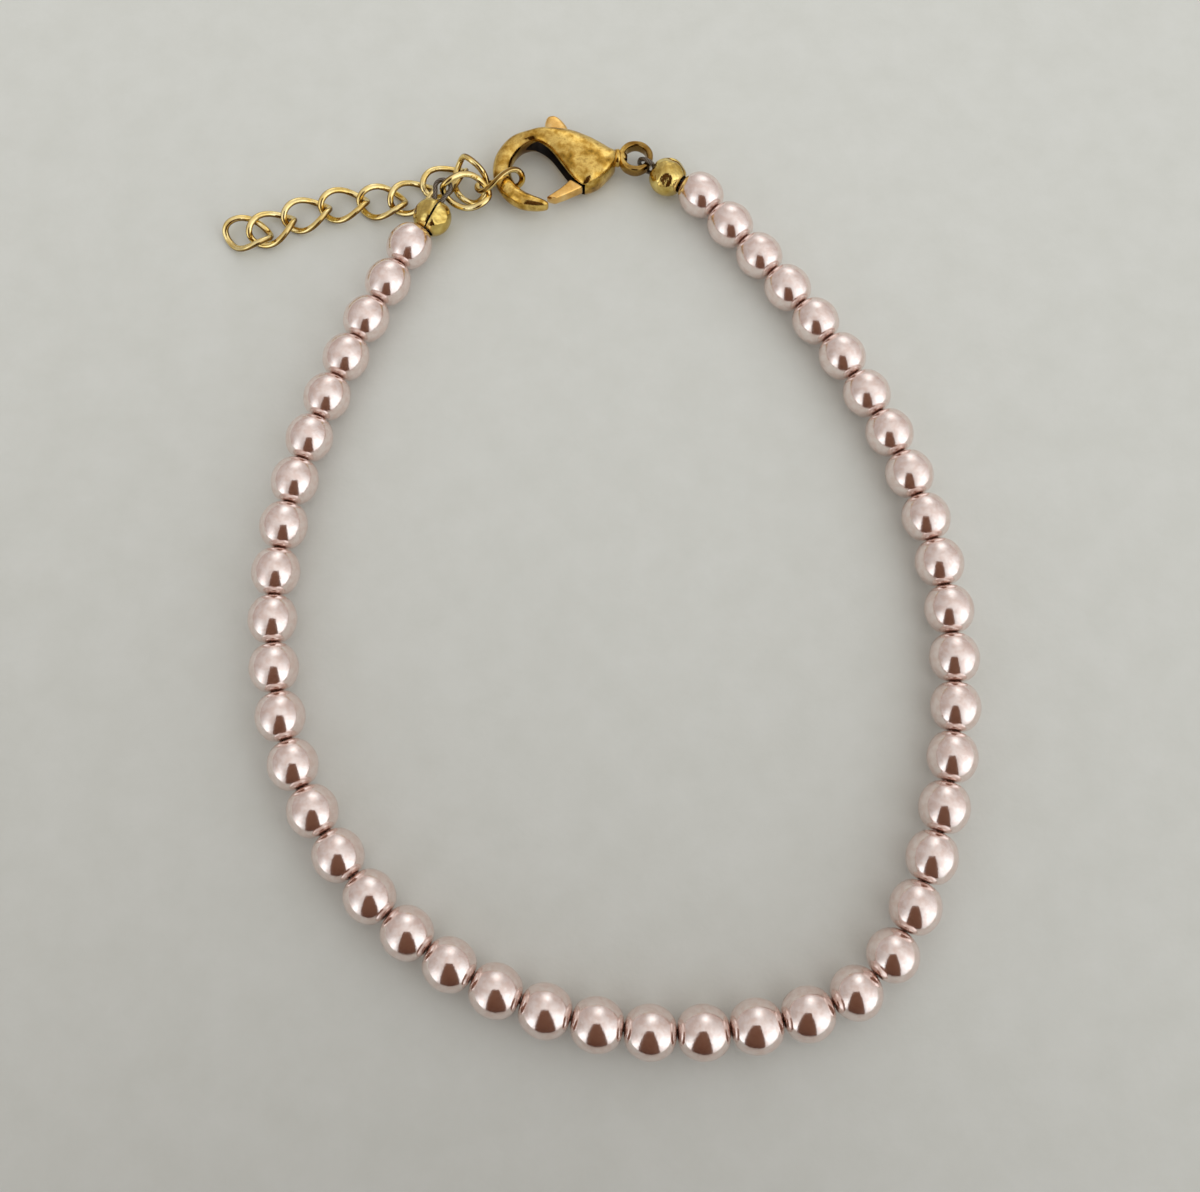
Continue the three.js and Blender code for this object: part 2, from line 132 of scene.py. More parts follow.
def centre_of(node):
    """Middle of a frame node's box, in millimetres."""
    low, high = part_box(node)
    return np.array((low + high) / 2) / MM


# The plan that the tables below are drawn in has pearl_01 at this point.
FIRST_PEARL_PLAN = np.array([-16.2, 23.9, 2.0])
plan_origin = centre_of("pearl_01") - FIRST_PEARL_PLAN
clasp_origin = plan_origin + np.array([-1.95, 33.4, 0.0])

# Middle of each link, the heading of its long axis, how far that axis climbs and its roll about it.
LINKS = [
    # number, x, y, z, heading, climb, roll
    (1, -31.28, 25.52, 0.88, -10, 2, 179),
    (2, -29.09, 26.21, 0.88, 23, 0, 2),
    (3, -26.01, 27.68, 0.83, 16, 0, 0),
    (4, -22.63, 28.69, 0.91, 9, -1, -1),
    (5, -19.12, 29.03, 0.83, -2, 0, 2),
    (6, -16.34, 29.67, 0.83, 22, -1, 0),
    (7, -13.41, 31.36, 0.99, 24, 7, -11),
    (8, -11.04, 31.08, 1.48, -73, -28, 22),
    (9, -8.24, 30.77, 1.71, 14, 6, 109),
    (10, -11.26, 29.46, 2.23, -1, -13, 32),
]

# Sections of the clasp from the tip of its hook round to its nose: a point on the inner edge, a
# point on the outer edge, the thickness, and how square the section is towards the inner and the
# outer edge (2 is an ellipse).
CLASP_SECTIONS = [
    # inner x, inner y, outer x, outer y, thickness, inner squareness, outer squareness
    (-1.68, -4.86, -1.74, -5.28, 1.00, 2.0, 2.0),
    (-2.25, -4.50, -2.34, -5.42, 1.50, 2.0, 2.0),
    (-3.10, -4.15, -3.24, -5.44, 1.80, 2.0, 2.0),
    (-3.92, -3.72, -4.55, -5.18, 1.90, 2.0, 2.0),
    (-4.68, -3.05, -5.93, -4.16, 1.90, 2.0, 2.0),
    (-5.21, -1.95, -6.89, -2.25, 1.92, 2.2, 2.2),
    (-5.12, -0.69, -6.78, -0.11, 2.00, 2.2, 2.2),
    (-4.34, 0.56, -5.46, 1.84, 2.25, 2.3, 2.2),
    (-3.35, 1.12, -3.50, 2.62, 2.60, 2.5, 2.2),
    (-2.55, 0.95, -2.15, 2.88, 2.95, 2.9, 2.2),
    (-1.60, 0.18, -0.70, 2.84, 3.20, 3.2, 2.2),
    (-0.70, -1.05, 0.70, 2.58, 3.30, 3.4, 2.2),
    (0.20, -2.32, 1.90, 2.12, 3.30, 3.4, 2.2),
    (0.86, -3.02, 2.75, 1.68, 3.30, 3.2, 2.2),
    (1.42, -3.40, 3.30, 1.34, 3.25, 3.0, 2.2),
    (2.12, -3.30, 3.65, 1.08, 3.15, 2.7, 2.2),
    (2.92, -2.86, 3.95, 0.88, 3.00, 2.5, 2.2),
    (3.68, -2.06, 4.18, 0.74, 2.75, 2.4, 2.2),
    (4.20, -1.40, 4.34, 0.62, 2.40, 2.4, 2.2),
    (4.44, -0.98, 4.50, 0.52, 1.80, 2.2, 2.2),
]

# Sections of the slot that the lever swings in, from where it opens in the hook's root.
SLOT_SECTIONS = [
    # x, near y, far y, half height
    (-4.00, 0.60, 0.95, 0.04),
    (-3.50, 0.15, 1.50, 0.48),
    (-2.80, -0.60, 3.90, 0.85),
    (-1.25, -4.40, 3.90, 0.85),
    (1.52, -4.40, 3.90, 0.85),
    (1.62, -3.22, 3.90, 0.85),
    (1.80, -2.95, 3.90, 0.85),
    (2.60, -2.60, 3.90, 0.85),
    (3.20, -2.00, 3.90, 0.80),
    (3.62, -1.40, 0.90, 0.30),
]

# The lever's thumb arm as its middle line, width in plan and thickness, and its gate bar as
# sections between an inner and an outer edge, from the pivot to the hook.
THUMB_SECTIONS = [
    # x, y, width, thickness
    (2.05, -1.75, 1.30, 1.36),
    (1.25, -0.75, 1.50, 1.36),
    (0.10, 0.70, 1.70, 1.36),
    (-0.75, 1.85, 2.05, 1.36),
    (-1.16, 2.75, 2.15, 1.36),
    (-1.42, 3.45, 1.75, 1.32),
    (-1.58, 3.95, 1.20, 1.20),
    (-1.64, 4.22, 0.70, 0.95),
]
GATE_SECTIONS = [
    # inner x, inner y, outer x, outer y, thickness, inner squareness, outer squareness
    (1.30, -0.60, 3.00, -1.60, 1.40, 5.0, 5.0),
    (0.95, -1.40, 2.50, -2.30, 1.40, 5.0, 5.0),
    (0.70, -1.90, 1.78, -2.80, 1.40, 5.0, 5.0),
    (0.15, -2.60, 1.42, -3.34, 1.38, 5.0, 5.0),
    (-0.55, -3.34, 0.62, -3.80, 1.34, 5.0, 4.0),
    (-1.25, -3.90, -0.20, -4.22, 1.28, 5.0, 3.4),
    (-1.94, -4.36, -1.05, -4.60, 1.15, 4.0, 3.0),
]

# Collar between the clasp's nose and its ring.
NECK_SECTIONS = [
    # x, radius
    (3.90, 0.60),
    (4.40, 0.80),
    (4.62, 0.84),
    (4.78, 0.80),
    (4.90, 0.64),
    (5.20, 0.60),
    (5.50, 0.30),
]

# ---------------------------------------------------------------------------
# Surfaces from arrays
# ---------------------------------------------------------------------------


def smooth_rows(rows, count):
    """Values between the rows of a table, at `count` even steps of the row number.

    Each span is the cubic through its two rows whose slope at a row is half the difference of the
    rows on either side, with the end rows repeated once.
    """
    rows = np.asarray(rows, float)
    padded = np.vstack([rows[:1], rows, rows[-1:]])
    place = np.linspace(0, len(rows) - 1, count)
    span = np.minimum(place.astype(int), len(rows) - 2)
    t = (place - span)[:, None]
    before, start, end, after = (padded[span + k] for k in range(4))
    return 0.5 * (
        2 * start
        + (end - before) * t
        + (2 * before - 5 * start + 4 * end - after) * t**2
        + (3 * (start - end) + after - before) * t**3
    )


def unit(vectors):
    """Vectors along the last axis, each divided by its length."""
    return vectors / np.linalg.norm(vectors, axis=-1, keepdims=True)


def directions(middle, closed=False):
    """Unit tangents of a line of points, each from the neighbour before to the one after."""
    if closed:
        return unit(np.roll(middle, -1, 0) - np.roll(middle, 1, 0))
    return unit(np.gradient(middle, axis=0))


def swept(middle, side, rise, profile):
    """Rings of a tube: middle line + profile's first value along side + its second along rise."""
    return (
        middle[:, None, :]
        + profile[..., 0:1] * side[:, None, :]
        + profile[..., 1:2] * rise[:, None, :]
    )


def circle(radius, count):
    """Round profile of `count` points."""
    turn = np.linspace(0, 2 * math.pi, count, endpoint=False)
    return np.stack([np.cos(turn), np.sin(turn)], -1) * radius


def piece_from_rings(name, rings, closed=False, along=None):
    """A closed mesh from rings of points, ring after ring, each ring a closed loop.

    Neighbouring points of neighbouring rings make a quad. A closed path joins the last ring to
    the first; an open one ends in a fan round the middle of its last ring. UV x runs round the
    ring from 0 to 1 and UV y is `along`, a number for each ring, or for each point of a ring.
    """
    steps, points, _ = rings.shape
    spans = steps if closed else steps - 1
    i = np.arange(spans)[:, None]
    j = np.arange(points)[None, :]
    here, beyond = i * points, ((i + 1) % steps) * points
    after = (j + 1) % points
    quads = np.stack([here + j, here + after, beyond + after, beyond + j], -1).reshape(-1, 4)
    round_uv = np.stack([j, j + 1, j + 1, j], -1) / points
    round_uv = np.broadcast_to(round_uv, (spans, points, 4)).reshape(-1, 4)
    if along is None:
        along = np.arange(steps + 1)[:, None] / steps * np.ones(points)
    first, second = along[:-1][:spans], along[1:][:spans]
    turned = np.roll(first, -1, 1), np.roll(second, -1, 1)
    along_uv = np.stack([first, turned[0], turned[1], second], -1).reshape(-1, 4)
    vertices = rings.reshape(-1, 3)
    faces = quads.tolist()
    uvs = [np.stack([round_uv, along_uv], -1).reshape(-1, 2)]
    if not closed:
        vertices = np.vstack([vertices, rings[0].mean(0), rings[-1].mean(0)])
        ring = np.arange(points)
        following = (ring + 1) % points
        last = (steps - 1) * points
        pole = np.full(points, steps * points)
        near = np.stack([following, ring, pole], -1)
        far = np.stack([last + ring, last + following, pole + 1], -1)
        faces += near.tolist() + far.tolist()
        for value in (along[0].mean(), along[spans].mean()):
            fan = np.stack([ring + 1, ring, ring + 0.5], -1).reshape(-1) / points
            uvs.append(np.stack([fan, np.full_like(fan, value)], -1))
    mesh = bpy.data.meshes.new(name)
    mesh.from_pydata((vertices * MM).tolist(), [], faces)
    layer = mesh.uv_layers.new(name="UVMap")
    layer.data.foreach_set("uv", np.concatenate(uvs).astype(np.float32).ravel())
    if signed_volume(mesh) < 0:
        mesh.flip_normals()
    return shown(name, mesh)


def signed_volume(mesh):
    """Sum over the triangles of a . (b x c) / 6, which is positive when faces point outwards."""
    mesh.calc_loop_triangles()
    corners = np.empty(len(mesh.loop_triangles) * 3, np.int32)
    mesh.loop_triangles.foreach_get("vertices", corners)
    places = np.empty(len(mesh.vertices) * 3, np.float32)
    mesh.vertices.foreach_get("co", places)
    a, b, c = places.reshape(-1, 3)[corners.reshape(-1, 3)].transpose(1, 0, 2)
    return float((a * np.cross(b, c)).sum() / 6)


def put_in_scene(name, data):
    """A new object for a mesh or a camera."""
    made = bpy.data.objects.new(name, data)
    bpy.context.scene.collection.objects.link(made)
    return made


def smooth(mesh):
    """Shades a mesh smooth but for its sharp edges."""
    mesh.polygons.foreach_set("use_smooth", np.ones(len(mesh.polygons), bool))
    mesh.set_sharp_from_angle(angle=SHARP_EDGE)


def shown(name, mesh):
    """A smooth object for a mesh."""
    smooth(mesh)
    return put_in_scene(name, mesh)


def boolean(piece, other, operation):
    """Cuts the piece with another closed mesh, or joins that to it, and removes the other."""
    step = piece.modifiers.new(operation, "BOOLEAN")
    step.operation = operation
    step.solver = "EXACT"
    step.material_mode = "TRANSFER"
    step.object = other
    bpy.context.view_layer.update()
    evaluated = piece.evaluated_get(bpy.context.evaluated_depsgraph_get())
    mesh = bpy.data.meshes.new_from_object(evaluated)
    mesh.name = piece.name
    piece.modifiers.clear()
    piece.data = mesh
    bpy.data.objects.remove(other)
    smooth(mesh)


# ---------------------------------------------------------------------------
# Pearls
# ---------------------------------------------------------------------------


def pearl_rings(middle, axis, turn, flatness):
    """Ball with a bore: the radius is R sin a, and the height along the bore is what is left of
    the half length under |r/R|^n + |h/H|^n = 1, where n runs from the flatness at the bore to 2
    at the pearl's widest, so that neighbours face each other with a small flat.

    The angle a runs from lip to lip, each lip turns inwards by a quarter circle of the radius
    BORE_LIP, and the bore joins the two lips. The profile is turned about the axis.
    """
    start = math.asin((BORE_RADIUS + BORE_LIP) / PEARL_RADIUS)
    ball = np.linspace(start, math.pi - start, PEARL_ARC_POINTS)
    reach = np.sin(ball)
    power = 2 + (flatness - 2) * (1 - reach**2)
    height = (1 - reach**power) ** (1 / power) * -np.sign(np.cos(ball)) * PEARL_LENGTH / 2
    outer = np.stack([reach * PEARL_RADIUS, height], -1)
    bend = np.linspace(0, math.pi / 2, PEARL_LIP_POINTS)[1:]
    edge = outer[-1]
    lip = np.stack(
        [edge[0] - BORE_LIP * np.sin(bend), edge[1] - BORE_LIP * (1 - np.cos(bend))], -1
    )
    other_lip = (lip * [1, -1])[::-1]
    inside = np.linspace(lip[-1], other_lip[0], PEARL_BORE_POINTS)[1:-1]
    profile = np.vstack([outer, lip, inside, other_lip])
    side = unit(np.cross(axis, UP))
    rise = np.cross(side, axis)
    spin = np.linspace(0, 2 * math.pi, PEARL_TURNS, endpoint=False)[:, None, None] + turn
    across = np.cos(spin) * side + np.sin(spin) * rise
    return middle + profile[None, :, 0:1] * across + profile[None, :, 1:2] * axis, profile


def add_pearls(finish):
    """A fine pearl for each of the frame's, along the thread that runs through their middles.

    Its flatness is PEARL_FLATNESS less FLATNESS_LOST for each degree that the thread bends there.
    """
    middles = np.array([centre_of(f"pearl_{i:02d}") for i in range(1, PEARLS + 1)])
    axes = directions(middles)
    steps = unit(np.diff(middles, axis=0))
    bends = np.degrees(np.arccos(np.clip((steps[:-1] * steps[1:]).sum(-1), -1, 1)))
    flatness = PEARL_FLATNESS - FLATNESS_LOST * np.pad(bends, 1, mode="edge")
    turns = np.random.default_rng(4).uniform(0, 2 * math.pi, PEARLS)
    for index in range(PEARLS):
        rings, profile = pearl_rings(middles[index], axes[index], turns[index], flatness[index])
        reach = profile[:, 0] / PEARL_RADIUS
        along = np.broadcast_to(reach, (len(rings) + 1, len(profile)))
        pearl = piece_from_rings(f"glass_pearl_{index + 1:02d}", rings, True, along)
        dress(pearl, finish, "anklet", f"pearl_{index + 1:02d}")
    return middles, axes


# ---------------------------------------------------------------------------
# Chain links and wire
# ---------------------------------------------------------------------------


def link_frame(row):
    """Turn and place of a link: rolled about its length, then climbed, then headed."""
    _, x, y, z, heading, climb, roll = row
    turn = (
        Matrix.Rotation(math.radians(heading), 3, "Z")
        @ Matrix.Rotation(-math.radians(climb), 3, "Y")
        @ Matrix.Rotation(math.radians(roll), 3, "X")
    )
    return np.array(turn), np.array([x, y, z]) + plan_origin


def link_middle(turn_round):
    """Middle line of a curb link: an oval, across whose length the plane turns by LINK_TWIST."""
    half_length = (LINK_LENGTH - LINK_WIRE) / 2
    half_width = (LINK_WIDTH - LINK_WIRE) / 2
    twist = -(LINK_TWIST / 2) * np.cos(turn_round)
    across = half_width * np.sin(turn_round)
    return np.stack(
        [half_length * np.cos(turn_round), across * np.cos(twist), across * np.sin(twist)], -1
    )


def add_links(finish):
    """Plated wire, a little wider than it is tall, carried along each link's middle line with its
    side facing off the link's middle."""
    steps = np.linspace(0, 2 * math.pi, LINK_STEPS, endpoint=False)
    middle = link_middle(steps)
    tangent = directions(middle, closed=True)
    side = unit(middle - tangent * (middle * tangent).sum(-1, keepdims=True))
    power = LINK_PLATED_POWER
    plated = superellipse(LINK_PLATED_WIDE, LINK_PLATED_TALL, power, power, LINK_POINTS)
    rings = swept(middle, side, np.cross(side, tangent), plated)
    for row in LINKS:
        turn, place = link_frame(row)
        link = piece_from_rings(f"curb_link_{row[0]:02d}", rings @ turn.T + place, True)
        dress(link, finish, "anklet", f"link_{row[0]:02d}")


def end_loop(cover, bar, across, radius):
    """Points of the wire from inside a cover, round a bar at the given radius, and back."""
    along = unit(bar - cover)
    turn = np.radians(np.linspace(LOOP_HALF_TURN, -LOOP_HALF_TURN, LOOP_POINTS))[:, None]
    start, end = LOOP_ENDS_INSIDE
    out = cover + along * [[-start], [LOOP_BENDS_OUTSIDE]] + across * LOOP_OFF_MIDDLE
    off = across * [[-LOOP_OFF_MIDDLE], [-LOOP_END_OFF_MIDDLE]]
    back = cover + along * [[LOOP_BENDS_OUTSIDE], [-end]] + off
    return np.vstack([out, bar + radius * (along * np.cos(turn) + across * np.sin(turn)), back])


def add_wire(finish, middles, axes, covers, bars):
    """Coated wire on one smooth line: a loop, every pearl's middle, and the other loop."""
    chain_across = unit(np.cross(UP, bars[0] - covers[0]))
    chain_loop = end_loop(covers[0], bars[0], chain_across, CHAIN_LOOP_RADIUS)
    clasp_loop = end_loop(covers[1], bars[1], UP, CLASP_LOOP_RADIUS)[::-1]
    entry = middles[0] - axes[0] * PEARL_RADIUS
    leaving = middles[-1] + axes[-1] * PEARL_RADIUS
    rows = np.vstack([chain_loop, entry, middles, leaving, clasp_loop])
    middle = smooth_rows(rows, WIRE_STEPS_A_ROW * (len(rows) - 1) + 1)
    tangent = directions(middle)
    share = np.linspace(0, len(rows) - 1, len(middle))
    on_clasp_loop = np.clip(share - (len(chain_loop) + 1 + PEARLS), 0, 1)[:, None]
    loop_side = unit(np.cross(UP, bars[1] - covers[1]))
    reference = UP * (1 - on_clasp_loop) + loop_side * on_clasp_loop
    side = unit(np.cross(tangent, reference))
    rings = swept(middle, side, np.cross(side, tangent), circle(WIRE_RADIUS, WIRE_POINTS)[None])
    length = np.concatenate([[0], np.cumsum(np.linalg.norm(np.diff(middle, axis=0), axis=1))])
    wire = piece_from_rings("beading_wire", rings, False, length[:, None] * np.ones(WIRE_POINTS))
    dress(wire, finish, "anklet", "bead_wire")


# ---------------------------------------------------------------------------
# Crimp covers
# ---------------------------------------------------------------------------

# Flats that the pliers left: direction in the cover's own frame (side, along its bore, away from
# the seam) and distance of the flat from the middle.
CHAIN_COVER_FLATS = [
    # side, along, off, distance
    (0.62, 0.02, 0.79, 1.57),
    (-0.38, 0.10, 0.92, 1.61),
    (-0.85, -0.30, 0.43, 1.62),
    (0.85, -0.45, 0.28, 1.64),
]
CLASP_COVER_FLATS = [
    (0.55, 0.10, 0.83, 1.665),
    (-0.50, 0.45, 0.74, 1.67),
    (0.10, -0.55, 0.83, 1.65),
    (-0.62, -0.25, 0.74, 1.67),
    (0.80, 0.45, 0.40, 1.68),
    (-0.20, 0.80, 0.56, 1.68),
    (0.75, -0.50, 0.42, 1.67),
]


def cover_rings(middle, axis, seam, flats):
    """Folded ball: outer and inner arcs of a circle, turned about the bore from seam to seam.

    A flat pulls the outer surface in to the plane at its distance, by a soft minimum that blends
    them over FLAT_BLEND, and the inner surface keeps the wall's thickness under it. Rims and seam
    are rounded: there the outer surface draws in and the inner one out, less and less by e to the
    minus distance over reach.
    """
    count = COVER_ARC_POINTS
    inner_radius = COVER_RADIUS - COVER_WALL
    starts = [math.asin(COVER_MOUTH / r) for r in (COVER_RADIUS, inner_radius)]
    outer = np.linspace(starts[0], math.pi - starts[0], count)
    inner = np.linspace(math.pi - starts[1], starts[1], count)
    angle = np.concatenate([outer, inner])
    wall = np.concatenate([np.zeros(count), np.full(count, COVER_WALL)])
    rim = np.concatenate([np.minimum(np.arange(count), np.arange(count)[::-1])] * 2)
    rim_draw = RIM_DRAW * np.exp(-rim / RIM_REACH) * np.where(wall > 0, -1, 1)
    gap = COVER_SLIT / COVER_RADIUS
    spin = np.linspace(gap, 2 * math.pi - gap, COVER_TURNS)
    edge = np.minimum(spin - gap, 2 * math.pi - gap - spin)
    seam_draw = SEAM_DRAW * np.exp(-edge / SEAM_REACH)[:, None]
    seam_draw = seam_draw * np.where(wall > 0, INNER_SEAM_SHARE, 1)
    rise = unit(UP - axis * (axis @ UP))
    side = np.cross(axis, rise)
    turn = spin[:, None] + seam
    local = np.stack(
        [
            np.sin(turn) * np.sin(angle),
            -np.cos(angle) * np.ones_like(turn),
            np.cos(turn) * np.sin(angle),
        ],
        -1,
    )
    radius = np.full(local.shape[:2], COVER_RADIUS)
    for *way, distance in flats:
        facing = local @ unit(np.array(way))
        plane = distance / np.maximum(facing, LEAST_FACING)
        blend = FLAT_BLEND * np.log1p(np.exp(-np.abs(radius - plane) / FLAT_BLEND))
        radius = np.minimum(radius, plane) - blend
    radius = radius - wall - rim_draw - seam_draw
    frame_axes = np.stack([side, axis, rise])
    return middle + (local * radius[..., None]) @ frame_axes


def add_cover(name, node, finish, middle, axis, seam, flats):
    """The grid of cover_rings, closed at the seam by strips between its outer and inner arcs.

    The first half of a ring's points is the outer arc and the second half the inner one, which is
    painted near-black as shade.
    """
    rings = cover_rings(middle, axis, seam, flats)
    steps, points, _ = rings.shape
    half = points // 2
    i = np.arange(steps - 1)[:, None] * points
    j = np.arange(points)[None, :]
    after = (j + 1) % points
    walls = np.stack([i + j, i + after, i + points + after, i + points + j], -1).reshape(-1, 4)
    k = np.arange(half - 1)
    strip = np.stack([k, k + 1, points - 2 - k, points - 1 - k], -1)
    faces = np.vstack([walls, strip[:, ::-1], strip + (steps - 1) * points])
    painted_shade_faces = np.zeros(len(faces), np.int32)
    # Faces on the inner arc get the near-black painted shade
    painted_shade_faces[: len(walls)] = np.tile((j[0] >= half) & (j[0] < points - 1), steps - 1)
    mesh = bpy.data.meshes.new(name)
    mesh.from_pydata((rings.reshape(-1, 3) * MM).tolist(), [], faces.tolist())
    mesh.materials.append(finish)
    mesh.materials.append(PAINTED_SHADE_INSIDE)
    mesh.polygons.foreach_set("material_index", painted_shade_faces)
    make_outward(mesh)
    dress(shown(name, mesh), None, "anklet", node)


def make_outward(mesh):
    """Turns every face the same way, and that way out."""
    work = bmesh.new()
    work.from_mesh(mesh)
    bmesh.ops.recalc_face_normals(work, faces=work.faces)
    work.to_mesh(mesh)
    work.free()
    if signed_volume(mesh) < 0:
        mesh.flip_normals()


# ---------------------------------------------------------------------------
# Clasp
# ---------------------------------------------------------------------------

# Hammer and casting marks on the clasp: middle, reach and depth (a bump has a negative depth).
CLASP_MARKS = [
    # x, y, reach, depth
    (1.45, -2.75, 0.50, 0.05),
    (2.50, -2.55, 0.75, -0.12),
    (3.35, -1.80, 0.50, 0.08),
    (0.00, -0.17, 0.11, 0.10),
    (2.60, 0.10, 1.00, 0.08),
    (0.60, 1.30, 0.90, 0.04),
    (1.15, -1.10, 0.70, 0.07),
    (3.60, -0.40, 0.60, 0.05),
    (-1.10, 1.60, 0.60, 0.04),
    (2.05, 1.10, 0.26, 0.03),
]


def superellipse(across, height, near_power, far_power, count):
    """Closed section: |x|^n + |y|^n = 1 scaled to half of across and height.

    n is near_power where x is below zero and far_power where it is above.
    """
    turn = np.linspace(0, 2 * math.pi, count, endpoint=False)[None]
    cos, sin = np.cos(turn), np.sin(turn)
    power = 2 / np.where(cos < 0, np.reshape(near_power, (-1, 1)), np.reshape(far_power, (-1, 1)))
    x = np.sign(cos) * np.abs(cos) ** power * np.reshape(across, (-1, 1)) / 2
    y = np.sign(sin) * np.abs(sin) ** power * np.reshape(height, (-1, 1)) / 2
    return np.stack(np.broadcast_arrays(x, y), -1)


def rounded_ends(count, first, last):
    """Scale of each section, a quarter circle over the first and last shares of the length."""
    share = np.linspace(0, 1, count)
    near = np.clip(share / first, 0, 1) if first else np.ones(count)
    far = np.clip((1 - share) / last, 0, 1) if last else np.ones(count)
    return np.sqrt(1 - (1 - np.minimum(near, far)) ** 2) * (1 - END_SECTION) + END_SECTION


def lofted_rings(sections, count, points, ends):
    """Sections between an inner and an outer edge, blended between the rows of a table.

    A section is a superellipse that spans the two edges in plan and the thickness in height, and
    both ends close in a quarter circle.
    """
    rows = smooth_rows(sections, count)
    inner, outer = rows[:, 0:2], rows[:, 2:4]
    scale = rounded_ends(count, *ends)
    across = np.linalg.norm(outer - inner, axis=1) * scale
    profile = superellipse(across, rows[:, 4] * scale, rows[:, 5], rows[:, 6], points)
    side = np.column_stack([unit(outer - inner), np.zeros(count)])
    rise = np.tile(UP, (count, 1))
    middle = np.column_stack([(inner + outer) / 2, np.full(count, CLASP_MIDDLE)])
    return swept(middle, side, rise, profile)


def clasp_rings():
    """Hook and body in one loft, then marked: each mark moves the top and the bottom in by a bell
    curve of its reach and depth, and two waves about 3 and 1.5 mm long make the surface uneven,
    as a cast and tumbled one is."""
    rings = lofted_rings(CLASP_SECTIONS, CLASP_STEPS, CLASP_POINTS, CLASP_ENDS)
    height = rings[..., 2] - CLASP_MIDDLE
    for x, y, reach, depth in CLASP_MARKS:
        distance = np.hypot(rings[..., 0] - x, rings[..., 1] - y)
        share = np.where(height > 0, depth, depth * UNDERSIDE_SHARE)
        dent = share * np.exp(-((distance / reach) ** 2))
        height = height - np.sign(height) * dent * np.clip(np.abs(height) / MARK_FULL_AT, 0, 1)
    wave = np.sin(rings[..., 0] * 2.1 + 0.7) * np.cos(rings[..., 1] * 1.9 + 1.1)
    wave = wave + 0.6 * np.sin(rings[..., 0] * 3.3 - rings[..., 1] * 2.7)
    height = height * (1 + CASTING_WAVE * wave)
    rings[..., 2] = np.maximum(CLASP_MIDDLE + height, 0.0)
    return rings


def slot_rings():
    """Rectangles across the clasp's length, from the rows of SLOT_SECTIONS."""
    x, near, far, half = np.array(SLOT_SECTIONS).T
    low, high = CLASP_MIDDLE - half, CLASP_MIDDLE + half
    corners = [(x, near, low), (x, far, low), (x, far, high), (x, near, high)]
    return np.stack([np.column_stack(corner) for corner in corners], 1)


def bar_rings(rows, count, points, squareness, ends):
    """A lever arm: superellipse sections across its middle line, as wide and thick as the table
    says."""
    table = smooth_rows(rows, count)
    middle = np.column_stack([table[:, 0:2], np.full(count, CLASP_MIDDLE)])
    tangent = directions(middle)
    side = np.column_stack([tangent[:, 1], -tangent[:, 0], np.zeros(count)])
    rise = np.tile(UP, (count, 1))
    scale = rounded_ends(count, *ends)
    profile = superellipse(
        table[:, 2] * scale, table[:, 3] * scale, squareness, squareness, points
    )
    return swept(middle, side, rise, profile)


def ring_rings():
    """Clasp ring: a squarish band about a circle, its width uneven by a few hundredths."""
    turn = np.linspace(0, 2 * math.pi, RING_STEPS, endpoint=False)
    middle = np.column_stack(
        [
            RING_ALONG + RING_RADIUS * np.cos(turn),
            RING_ACROSS + RING_RADIUS * np.sin(turn),
            0 * turn + CLASP_MIDDLE,
        ]
    )
    side = np.column_stack([np.cos(turn), np.sin(turn), 0 * turn])
    rise = np.tile(UP, (RING_STEPS, 1))
    uneven = 1 + 0.06 * np.sin(3 * turn + 0.6) + 0.04 * np.sin(7 * turn)
    band = superellipse(RING_WIDE * uneven, RING_TALL, RING_POWER, RING_POWER, BAND_POINTS)
    return swept(middle, side, rise, band)


def neck_rings():
    """Collar between the nose and the ring: circles about the clasp's length, then a waist."""
    rows = smooth_rows(NECK_SECTIONS, NECK_STEPS)
    middle = np.tile([0.0, NECK_ACROSS, CLASP_MIDDLE], (NECK_STEPS, 1))
    middle[:, 0] = rows[:, 0]
    side = np.tile([0.0, 1.0, 0.0], (NECK_STEPS, 1))
    rise = np.tile(UP, (NECK_STEPS, 1))
    return swept(middle, side, rise, circle(1, BAND_POINTS)[None] * rows[:, 1][:, None, None])


def add_clasp(body_finish, lever_finish):
    """The cast body with its lever slot, neck and ring in one, and the lever's two arms in one."""
    place = clasp_origin
    body = piece_from_rings("clasp_casting", clasp_rings() + place)
    slot = piece_from_rings("slot_cutter", slot_rings() + place)
    body.data.materials.append(body_finish)
    # The slot's cut faces get the near-black painted shade
    slot.data.materials.append(PAINTED_SHADE_INSIDE)
    boolean(body, slot, "DIFFERENCE")
    for part in (
        piece_from_rings("neck_part", neck_rings() + place),
        piece_from_rings("ring_part", ring_rings() + place, True),
    ):
        part.data.materials.append(body_finish)
        boolean(body, part, "UNION")
    dress(body, None, "anklet", "clasp_body")
    gate = lofted_rings(GATE_SECTIONS, ARM_STEPS, ARM_POINTS, GATE_ENDS)
    thumb = bar_rings(THUMB_SECTIONS, ARM_STEPS, ARM_POINTS, THUMB_POWER, THUMB_ENDS)
    lever = piece_from_rings("clasp_gate", gate + place)
    boolean(lever, piece_from_rings("thumb_part", thumb + place), "UNION")
    dress(lever, lever_finish, "lever", "clasp_lever")


# ---------------------------------------------------------------------------
# Finishes
# ---------------------------------------------------------------------------


def linear(hex_colour):
    """sRGB hex to linear RGBA: up to 0.04045 c / 12.92, above it ((c + 0.055) / 1.055) ** 2.4."""
    values = np.array([int(hex_colour[k : k + 2], 16) for k in (1, 3, 5)]) / 255
    return (*np.where(values <= 0.04045, values / 12.92, ((values + 0.055) / 1.055) ** 2.4), 1.0)


